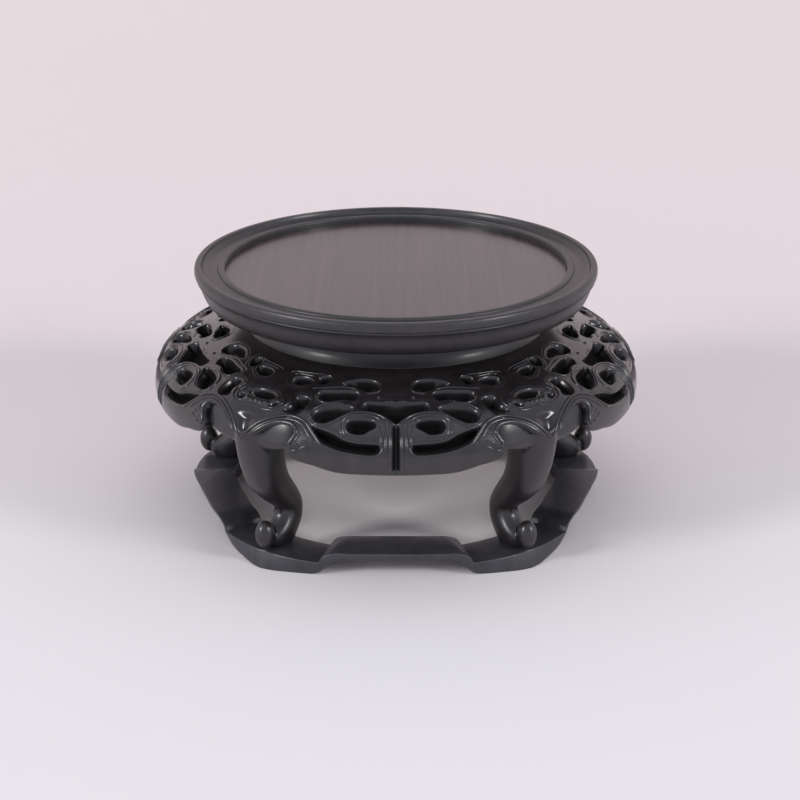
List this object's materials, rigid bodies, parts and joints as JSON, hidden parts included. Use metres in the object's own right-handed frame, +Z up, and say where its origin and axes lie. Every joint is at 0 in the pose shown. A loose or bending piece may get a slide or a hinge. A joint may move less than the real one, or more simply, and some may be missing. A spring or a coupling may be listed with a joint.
{
  "type": "display stand",
  "caption": "Round carved hardwood display stand with a sunk top panel, turned waist, deeply carved scroll apron, S-curved legs with ball feet and a wavy floor ring.",
  "frame": {"origin": "on the floor, under the centre of the round top", "axes": "+Z up; -Y towards the front, where the middle of apron panel 1 faces; +X to the right seen from the front"},
  "size_m": [0.146, 0.1457, 0.0756],
  "materials": {
    "dark_hardwood": "oiled and waxed, satin",
    "panel_hardwood": "fine straight grain, waxed satin",
    "carved_hardwood": "carved, burnished and waxed",
    "hidden_hardwood": "sawn, glued in"
  },
  "bodies": {
    "root": {"top_rim": "dark_hardwood", "top_panel": "panel_hardwood", "waist_ring": "dark_hardwood", "apron_panel_1": "carved_hardwood", "apron_panel_2": "carved_hardwood", "apron_panel_3": "carved_hardwood", "apron_panel_4": "carved_hardwood", "apron_panel_5": "carved_hardwood", "apron_keys": "hidden_hardwood", "leg_1": "dark_hardwood", "leg_2": "dark_hardwood", "leg_3": "dark_hardwood", "leg_4": "dark_hardwood", "leg_5": "dark_hardwood", "foot_dowels": "hidden_hardwood", "base_rail_1": "dark_hardwood", "base_rail_2": "dark_hardwood", "base_rail_3": "dark_hardwood", "base_rail_4": "dark_hardwood", "base_rail_5": "dark_hardwood", "rail_keys": "hidden_hardwood"}
  },
  "joints": []
}
